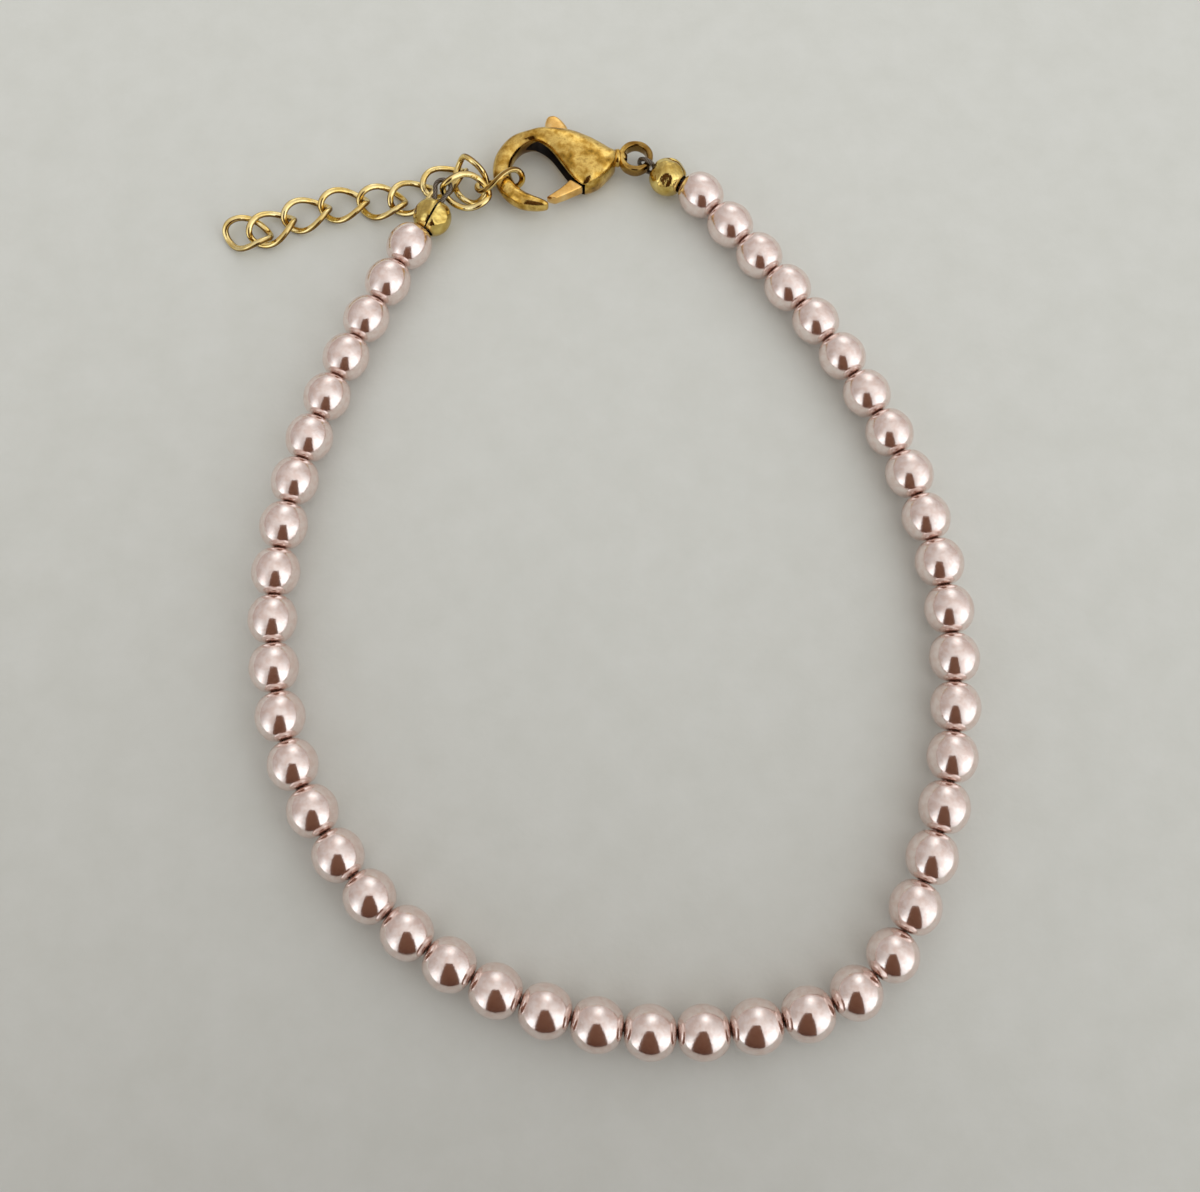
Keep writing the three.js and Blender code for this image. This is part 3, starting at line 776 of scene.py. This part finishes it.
def add(tree, kind, settings=None, links=None, stops=None):
    """Adds a shader node with its settings and links, and colour stops if it is a ramp.

    A settings key is a socket's number or name, or else a property. Returns its outputs.
    """
    made = tree.nodes.new("ShaderNode" + kind)
    for key, value in (settings or {}).items():
        if isinstance(key, str) and key not in made.inputs:
            setattr(made, key, value)
    for key, value in (settings or {}).items():
        if not isinstance(key, str) or key in made.inputs:
            made.inputs[key].default_value = value
    for key, output in (links or {}).items():
        tree.links.new(output, made.inputs[key])
    for index, (place, colour) in enumerate(stops or []):
        if index >= 2:
            made.color_ramp.elements.new(place)
        made.color_ramp.elements[index].position = place
        made.color_ramp.elements[index].color = linear(colour)
    return made.outputs


def new_finish(name):
    """A material, its emptied node tree, and object coordinates in millimetres."""
    material = bpy.data.materials.new(name)
    material.use_nodes = True
    tree = material.node_tree
    tree.nodes.clear()
    place = add(tree, "TexCoord")["Object"]
    place = add(tree, "VectorMath", {"operation": "SCALE", "Scale": 1 / MM}, {0: place})["Vector"]
    return material, tree, place


def pearl_lacquer():
    """Crystal glass bead under several dips of pale pink pearl lacquer.

    The mica in the lacquer throws light back like a soft pale metal, under a clear top dip, and a
    fifth of the light comes back from the pink body under it.
    Towards the rims of the bore the colour is painted brown: painted shade in the crevice where
    neighbouring pearls meet.
    """
    material, tree, place = new_finish("crystal_pearl_lacquer")
    # UV y is how far the surface stands off the bore, as a share of the pearl's radius
    uv = add(tree, "SeparateXYZ", links={0: add(tree, "UVMap")[0]})
    cloud = add(tree, "TexNoise", {"Scale": 1 / 0.5, "Detail": 2.0}, {"Vector": place})["Fac"]
    pink = add(
        tree, "ValToRGB", links={"Fac": cloud}, stops=[(0.36, "#F0E4DE"), (0.60, "#FAF5F2")]
    )["Color"]
    # Painted shade: brown towards the bore, where neighbouring pearls meet
    painted_shade_at_bore = add(
        tree,
        "MapRange",
        {"From Min": 0.22, "From Max": 0.36, "To Min": 0.6, "To Max": 0.0},
        {"Value": uv["Y"]},
    )["Result"]
    colour = add(
        tree, "Mix", {"data_type": "RGBA", 7: linear("#C48E78")}, {0: painted_shade_at_bore, 6: pink}
    )[2]
    # mica flakes are about 0.02 mm; drawn as 0.13 mm so that they show
    flakes = add(tree, "TexNoise", {"Scale": 1 / 0.13, "Detail": 1.0}, {"Vector": place})["Fac"]
    normal = add(
        tree, "Bump", {"Strength": 1.0, "Distance": 0.004 * MM}, {"Height": flakes}
    )["Normal"]
    mica = add(
        tree,
        "BsdfPrincipled",
        {
            "Metallic": 1.0,
            "Roughness": 0.14,
            "Coat Weight": 0.3,
            "Coat Roughness": 0.06,
            "Coat IOR": 1.45,
        },
        {"Base Color": colour, "Normal": normal},
    )
    body = add(
        tree,
        "BsdfPrincipled",
        {"Base Color": linear("#D08A72"), "Roughness": 0.4, "IOR": 1.45},
        {"Normal": normal},
    )
    both = add(tree, "MixShader", {0: 0.8}, {1: body["BSDF"], 2: mica["BSDF"]})
    add(tree, "OutputMaterial", links={"Surface": both[0]})
    return material


def plated_brass(name, stops, roughness, pit_depth, lump_depth, dark_part=None):
    """Gold plate on brass: cloudy colour, roughness that varies, shallow lumps and small pits.

    `roughness` is from the smoothest to the dullest patch, and the depths are in millimetres.
    `dark_part`, if given, makes from the tree and place a factor and the colour it turns the plate
    to: painted shade on the lever and the chain's wire, a darker brown on the casting.
    """
    material, tree, place = new_finish(name)
    blotch = add(
        tree, "TexNoise", {"Scale": 1 / 1.3, "Detail": 4.0, "Roughness": 0.6}, {"Vector": place}
    )["Fac"]
    colour = add(tree, "ValToRGB", links={"Fac": blotch}, stops=stops)["Color"]
    rubbed = add(tree, "TexNoise", {"Scale": 1 / 0.6, "Detail": 3.0}, {"Vector": place})["Fac"]
    dull = add(
        tree,
        "MapRange",
        {"From Min": 0.35, "From Max": 0.65, "To Min": roughness[0], "To Max": roughness[1]},
        {"Value": rubbed},
    )["Result"]
    lump = add(tree, "TexNoise", {"Scale": 1 / 0.9, "Detail": 2.0}, {"Vector": place})["Fac"]
    normal = add(
        tree, "Bump", {"Strength": 1.0, "Distance": lump_depth * MM}, {"Height": lump}
    )["Normal"]
    grain = add(tree, "TexNoise", {"Scale": 1 / 0.17, "Detail": 2.0}, {"Vector": place})["Fac"]
    pit = add(
        tree,
        "MapRange",
        {"From Min": 0.56, "From Max": 0.70, "To Min": 1.0, "To Max": 0.0},
        {"Value": grain},
    )["Result"]
    normal = add(
        tree,
        "Bump",
        {"Strength": 1.0, "Distance": pit_depth * MM},
        {"Height": pit, "Normal": normal},
    )["Normal"]
    if dark_part:
        factor, dark = dark_part(tree, place)
        colour = add(tree, "Mix", {"data_type": "RGBA", 7: dark}, {0: factor, 6: colour})[2]
    shader = add(
        tree,
        "BsdfPrincipled",
        {"Metallic": 1.0},
        {"Base Color": colour, "Roughness": dull, "Normal": normal},
    )
    add(tree, "OutputMaterial", links={"Surface": shader["BSDF"]})
    return material


# Square to the body's edge where the gate comes out of it, in plan and pointing into the body.
OFF_BODY_EDGE = (0.528, 0.849, 0.0)
# Where the slot opens in the root of the hook.
SLOT_END = (-3.7, 0.6, CLASP_MIDDLE)


def painted_shade_inside_body(tree, place):
    """Painted shade: 1 on the part of the lever that lies between the body's two plates, else 0,
    and the near-black that this part is painted.
    """
    local = add(
        tree,
        "VectorMath",
        {"operation": "SUBTRACT", 1: tuple(float(v) for v in clasp_origin)},
        {0: place},
    )["Vector"]
    into_body = add(
        tree, "VectorMath", {"operation": "DOT_PRODUCT", 1: OFF_BODY_EDGE}, {0: local}
    )["Value"]
    gate_edge = add(
        tree,
        "MapRange",
        {"From Min": -2.24, "From Max": -2.12, "To Min": 0.0, "To Max": 1.0},
        {"Value": into_body},
    )["Result"]
    tab_edge = add(
        tree,
        "MapRange",
        {"From Min": 1.85, "From Max": 2.0, "To Min": 1.0, "To Max": 0.0},
        {"Value": add(tree, "SeparateXYZ", links={0: local})["Y"]},
    )["Result"]
    factor = add(tree, "Math", {"operation": "MULTIPLY"}, {0: gate_edge, 1: tab_edge})[0]
    # near-black painted shade
    return factor, linear("#120C07")


def painted_shade_on_wire_sides(tree, place):
    """Painted shade and dark reflection: the inner and outer sides of a link's wire are painted
    brown, between its polished upper and lower faces.

    UV x is the turn round the wire, with the sides at 0 and a half.
    """
    uv = add(tree, "SeparateXYZ", links={0: add(tree, "UVMap")[0]})
    turn = add(tree, "Math", {"operation": "MULTIPLY", 1: 4 * math.pi}, {0: uv["X"]})[0]
    side = add(tree, "Math", {"operation": "COSINE"}, {0: turn})[0]
    factor = add(
        tree,
        "MapRange",
        {"From Min": 0.1, "From Max": 0.75, "To Min": 0.0, "To Max": 0.92},
        {"Value": side},
    )["Result"]
    # brown painted shade and dark reflection
    return factor, linear("#7A5416")


def brown_on_ring_and_hook_bend(tree, place):
    """Darker brown on the ring, and where the slot opens in the hook."""
    local = add(
        tree,
        "VectorMath",
        {"operation": "SUBTRACT", 1: tuple(float(v) for v in clasp_origin)},
        {0: place},
    )["Vector"]
    on_ring = add(
        tree,
        "MapRange",
        {"From Min": 4.9, "From Max": 5.6, "To Min": 0.0, "To Max": 0.7},
        {"Value": add(tree, "SeparateXYZ", links={0: local})["X"]},
    )["Result"]
    away = add(
        tree, "VectorMath", {"operation": "DISTANCE", 1: SLOT_END}, {0: local}
    )["Value"]
    in_bend = add(
        tree,
        "MapRange",
        {"From Min": 0.6, "From Max": 2.0, "To Min": 0.9, "To Max": 0.0},
        {"Value": away},
    )["Result"]
    factor = add(tree, "Math", {"operation": "MAXIMUM"}, {0: on_ring, 1: in_bend})[0]
    return factor, linear("#6A4720")


def painted_shade_inside_finish():
    """Painted shade: near-black for the inside faces of the clasp's slot and of the covers."""
    material, tree, place = new_finish("painted_shade_inside_hollows")
    shade_mottle = add(tree, "TexNoise", {"Scale": 1 / 0.5, "Detail": 4.0}, {"Vector": place})["Fac"]
    colour = add(
        tree, "ValToRGB", links={"Fac": shade_mottle}, stops=[(0.35, "#0B0705"), (0.75, "#2A1A0C")]
    )["Color"]
    normal = add(
        tree, "Bump", {"Strength": 1.0, "Distance": 0.02 * MM}, {"Height": shade_mottle}
    )["Normal"]
    shader = add(
        tree,
        "BsdfPrincipled",
        {"Metallic": 0.3, "Roughness": 0.6},
        {"Base Color": colour, "Normal": normal},
    )
    add(tree, "OutputMaterial", links={"Surface": shader["BSDF"]})
    return material


def coated_wire():
    """Fine steel strands laid in a rope under clear nylon: greyish and glossy, with slanting
    strand lines about a third of a millimetre apart."""
    material, tree, _ = new_finish("nylon_coated_steel_wire")
    # UV x is the turn round the wire and UV y the length in millimetres: 7 strands, lay 2.4 mm
    uv = add(tree, "SeparateXYZ", links={0: add(tree, "UVMap")[0]})
    slanted = add(
        tree, "Math", {"operation": "MULTIPLY_ADD", 1: 1 / 2.4}, {0: uv["Y"], 2: uv["X"]}
    )[0]
    strands = add(tree, "Math", {"operation": "MULTIPLY", 1: 14 * math.pi}, {0: slanted})[0]
    height = add(tree, "Math", {"operation": "SINE"}, {0: strands})[0]
    share = add(
        tree, "Math", {"operation": "MULTIPLY_ADD", 1: 0.5, 2: 0.5}, {0: height}
    )[0]
    # Painted shade: the colour darkens towards the grooves between strands
    colour = add(
        tree, "ValToRGB", links={"Fac": share}, stops=[(0.10, "#2A2118"), (0.80, "#7C7060")]
    )["Color"]
    normal = add(
        tree, "Bump", {"Strength": 1.0, "Distance": 0.014 * MM}, {"Height": share}
    )["Normal"]
    shader = add(
        tree,
        "BsdfPrincipled",
        {"Metallic": 0.8, "Roughness": 0.30, "Coat Weight": 0.6, "Coat Roughness": 0.12},
        {"Base Color": colour, "Normal": normal},
    )
    add(tree, "OutputMaterial", links={"Surface": shader["BSDF"]})
    return material


def pale_board():
    """Matt off-white board with a faint mottle and fibre, for the table top."""
    material, tree, place = new_finish("matt_white_board")
    mottle = add(
        tree, "TexNoise", {"Scale": 1 / 4.0, "Detail": 4.0, "Roughness": 0.6}, {"Vector": place}
    )["Fac"]
    colour = add(
        tree, "ValToRGB", links={"Fac": mottle}, stops=[(0.30, "#DADED8"), (0.70, "#DFE3DE")]
    )["Color"]
    fibre = add(tree, "TexNoise", {"Scale": 1 / 0.6, "Detail": 3.0}, {"Vector": place})["Fac"]
    normal = add(
        tree, "Bump", {"Strength": 1.0, "Distance": 0.016 * MM}, {"Height": fibre}
    )["Normal"]
    shader = add(
        tree,
        "BsdfPrincipled",
        {"Roughness": 0.75, "Specular IOR Level": 0.3},
        {"Base Color": colour, "Normal": normal},
    )
    add(tree, "OutputMaterial", links={"Surface": shader["BSDF"]})
    return material


def flag_felt():
    """Brown studio felt on a board."""
    material, tree, place = new_finish("brown_studio_felt")
    fibre = add(tree, "TexNoise", {"Scale": 1 / 8.0, "Detail": 3.0}, {"Vector": place})["Fac"]
    colour = add(
        tree, "ValToRGB", links={"Fac": fibre}, stops=[(0.2, "#65442F"), (0.8, "#74503A")]
    )["Color"]
    shader = add(tree, "BsdfPrincipled", {"Roughness": 0.95}, {"Base Color": colour})
    add(tree, "OutputMaterial", links={"Surface": shader["BSDF"]})
    return material


def dress(piece, finish, body, cad_node):
    """Gives a piece its finish, unless it has one, and its body, and hides the frame's node it
    stands for.
    """
    if finish:
        piece.data.materials.clear()
        piece.data.materials.append(finish)
    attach(piece, body)
    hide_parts(cad_node)


# ---------------------------------------------------------------------------
# The anklet
# ---------------------------------------------------------------------------

PEARL = pearl_lacquer()
# Cast brass, tumbled and gold-plated, with the plate rubbed to satin and browned in patches.
CASTING = plated_brass(
    "cast_brass_worn_gold_plate",
    [(0.30, "#7A5C22"), (0.44, "#B88F3C"), (0.60, "#ECCA74"), (0.76, "#9A772E")],
    (0.11, 0.20),
    0.002,
    0.032,
    brown_on_ring_and_hook_bend,
)
# Near-black painted shade for the insides of the slot and the covers
PAINTED_SHADE_INSIDE = painted_shade_inside_finish()
# Pressed brass lever, plated pale and almost smooth.
# The part of the lever between the body's two plates is painted near-black as shade.
LEVER = plated_brass(
    "pressed_brass_gold_plate",
    [(0.30, "#D6A552"), (0.52, "#EFC274"), (0.70, "#FBDB98")],
    (0.14, 0.24),
    0.002,
    0.02,
    painted_shade_inside_body,
)
# Drawn brass wire, bright-plated after bending.
# Each link's wire has brown painted shade and dark reflection on its inner and outer sides.
CHAIN = plated_brass(
    "drawn_brass_bright_gold_plate",
    [(0.30, "#E4C064"), (0.70, "#FDEDB2")],
    (0.05, 0.12),
    0.002,
    0.05,
    painted_shade_on_wire_sides,
)
# Stamped brass covers, polished, bent shut with pliers.
COVER = plated_brass(
    "stamped_brass_polished_gold_plate",
    [(0.30, "#AC8A38"), (0.70, "#EED684")],
    (0.05, 0.12),
    0.002,
    0.16,
)
WIRE = coated_wire()

pearl_middles, pearl_axes = add_pearls(PEARL)
add_links(CHAIN)

link_ten_turn, link_ten_place = link_frame(LINKS[-1])
chain_bar = link_middle(np.array([math.pi]))[0] @ link_ten_turn.T + link_ten_place
chain_cover = centre_of("crimp_cover_chain_side")
clasp_cover = centre_of("crimp_cover_clasp_side")
ring_middle = clasp_origin + np.array([RING_ALONG, 0.05, CLASP_MIDDLE])
ring_bar = ring_middle + RING_RADIUS * unit((clasp_cover - ring_middle) * [1, 1, 0])

add_cover(
    "folded_cover_chain_side",
    "crimp_cover_chain_side",
    COVER,
    chain_cover,
    unit(chain_bar - pearl_middles[0]),
    math.radians(12),
    CHAIN_COVER_FLATS,
)
add_cover(
    "folded_cover_clasp_side",
    "crimp_cover_clasp_side",
    COVER,
    clasp_cover,
    unit(ring_bar - pearl_middles[-1]),
    math.radians(40),
    CLASP_COVER_FLATS,
)
add_wire(WIRE, pearl_middles, pearl_axes, (chain_cover, clasp_cover), (chain_bar, ring_bar))
add_clasp(CASTING, LEVER)

# ---------------------------------------------------------------------------
# Table, flag, light and camera
# ---------------------------------------------------------------------------


def flat_stage(name, corners, finish):
    """One flat face of the stage, through its corners in millimetres."""
    mesh = bpy.data.meshes.new(name)
    mesh.from_pydata((np.array(corners) * MM).tolist(), [], [tuple(range(len(corners)))])
    piece = put_in_scene(name, mesh)
    mesh.materials.append(finish)
    return piece


CAMERA_DISTANCE = 101.76
CAMERA_TILT = math.radians(16.8)
CAMERA_ROLL = math.radians(-0.69)
TABLE_HALF = 1500
TABLE_CORNERS = np.array([(-1, -1, 0), (1, -1, 0), (1, 1, 0), (-1, 1, 0)]) * TABLE_HALF
# Corners of the felt flag: two measured from the lens, and two on the far table.
FLAG_AT_LENS = [(-26, 8, 2), (24, 8, 2)]
FLAG_AT_TABLE = [(100, -245, 1), (-114, -245, 1)]

# The camera's axes before its roll: from the anklet to the lens, up the picture, and across it.
TO_LENS = np.array([0, -math.sin(CAMERA_TILT), math.cos(CAMERA_TILT)])
PICTURE_UP = np.array([0, math.cos(CAMERA_TILT), math.sin(CAMERA_TILT)])
PICTURE_ACROSS = np.array([1.0, 0, 0])

camera_place = plan_origin + (TO_LENS * CAMERA_DISTANCE + UP * PEARL_RADIUS)

flat_stage("table_top", TABLE_CORNERS, pale_board())

# A felt flag from just above the lens down to the table, on the camera's side.
flag_corners = [camera_place + corner for corner in FLAG_AT_LENS] + FLAG_AT_TABLE
flag = flat_stage("felt_flag", flag_corners, flag_felt())
flag.visible_camera = False

camera = bpy.data.cameras.new("camera")
camera.lens = 36
camera.sensor_width = 36
camera.shift_x = 0.0125
camera.shift_y = -0.0794
camera.clip_start = 0.005
camera.clip_end = 10
viewer = put_in_scene("camera", camera)
right = PICTURE_ACROSS * math.cos(CAMERA_ROLL) - PICTURE_UP * math.sin(CAMERA_ROLL)
upward = PICTURE_ACROSS * math.sin(CAMERA_ROLL) + PICTURE_UP * math.cos(CAMERA_ROLL)
matrix = np.eye(4)
matrix[:3, 0] = right
matrix[:3, 1] = upward
matrix[:3, 2] = np.cross(right, upward)
matrix[:3, 3] = camera_place * MM
viewer.matrix_world = Matrix(matrix.tolist())
bpy.context.scene.camera = viewer


# Light round the anklet, placed on a disc: a direction's place is the half-way vector between it
# and the way to the lens, so that the lens is at (0, 0) and the table's horizon is an oval about
# 0.6 to 0.8 off the middle. Each row is a soft oval patch of brightness.
LIGHT_PATCHES = [
    # across, up, half length, half width, turn in degrees, brightness, colour
    (0.09, 0.25, 0.47, 0.31, -5, 0.46, "#FFFCFA"),  # white ceiling overhead
    (0.07, 0.63, 0.19, 0.13, 0, 0.96, "#FCFEFF"),  # far window, high over the table's far side
    (0.45, -0.22, 0.33, 0.33, 0, 1.30, "#F6FBFF"),  # wide window at the right
    (-0.46, -0.38, 0.34, 0.16, 69, 1.30, "#F6FBFF"),  # narrow window at the left
]
ROOM_BRIGHTNESS = 0.45
ROOM_COLOUR = "#FFF5EF"


def studio_light():
    """A dim pale room with soft windows: each patch is its brightness times exp(-(a^2 + b^2)),
    where a and b are the distances along and across it in half lengths and half widths."""
    world = bpy.data.worlds.new("studio")
    bpy.context.scene.world = world
    world.use_nodes = True
    tree = world.node_tree
    tree.nodes.clear()
    way = add(tree, "TexCoord")["Generated"]
    half_way = add(tree, "VectorMath", {"operation": "ADD", 1: tuple(TO_LENS)}, {0: way})["Vector"]
    half_way = add(tree, "VectorMath", {"operation": "NORMALIZE"}, {0: half_way})["Vector"]
    total = add(
        tree,
        "VectorMath",
        {"operation": "SCALE", 0: linear(ROOM_COLOUR)[:3], "Scale": ROOM_BRIGHTNESS},
    )["Vector"]
    for x, y, length, width, turn, brightness, colour in LIGHT_PATCHES:
        cos, sin = math.cos(math.radians(turn)), math.sin(math.radians(turn))
        offset = add(
            tree,
            "VectorMath",
            {"operation": "SUBTRACT", 1: tuple(PICTURE_ACROSS * x + PICTURE_UP * y)},
            {0: half_way},
        )["Vector"]
        squares = []
        for direction, reach in (
            (PICTURE_ACROSS * cos + PICTURE_UP * sin, length),
            (PICTURE_UP * cos - PICTURE_ACROSS * sin, width),
        ):
            share = add(
                tree,
                "VectorMath",
                {"operation": "DOT_PRODUCT", 1: tuple(direction / reach)},
                {0: offset},
            )["Value"]
            squares.append(add(tree, "Math", {"operation": "POWER", 1: 2.0}, {0: share})[0])
        both = add(tree, "Math", {"operation": "ADD"}, {0: squares[0], 1: squares[1]})[0]
        less = add(tree, "Math", {"operation": "MULTIPLY", 1: -1.0}, {0: both})[0]
        glow = add(tree, "Math", {"operation": "EXPONENT"}, {0: less})[0]
        patch = add(
            tree,
            "VectorMath",
            {"operation": "SCALE", 0: tuple(np.array(linear(colour)[:3]) * brightness)},
            {"Scale": glow},
        )["Vector"]
        total = add(tree, "VectorMath", {"operation": "ADD"}, {0: total, 1: patch})["Vector"]
    back = add(tree, "Background", {"Strength": 1.0}, {"Color": total})
    add(tree, "OutputWorld", links={"Surface": back[0]})


studio_light()

bpy.context.scene.view_settings.view_transform = "Standard"
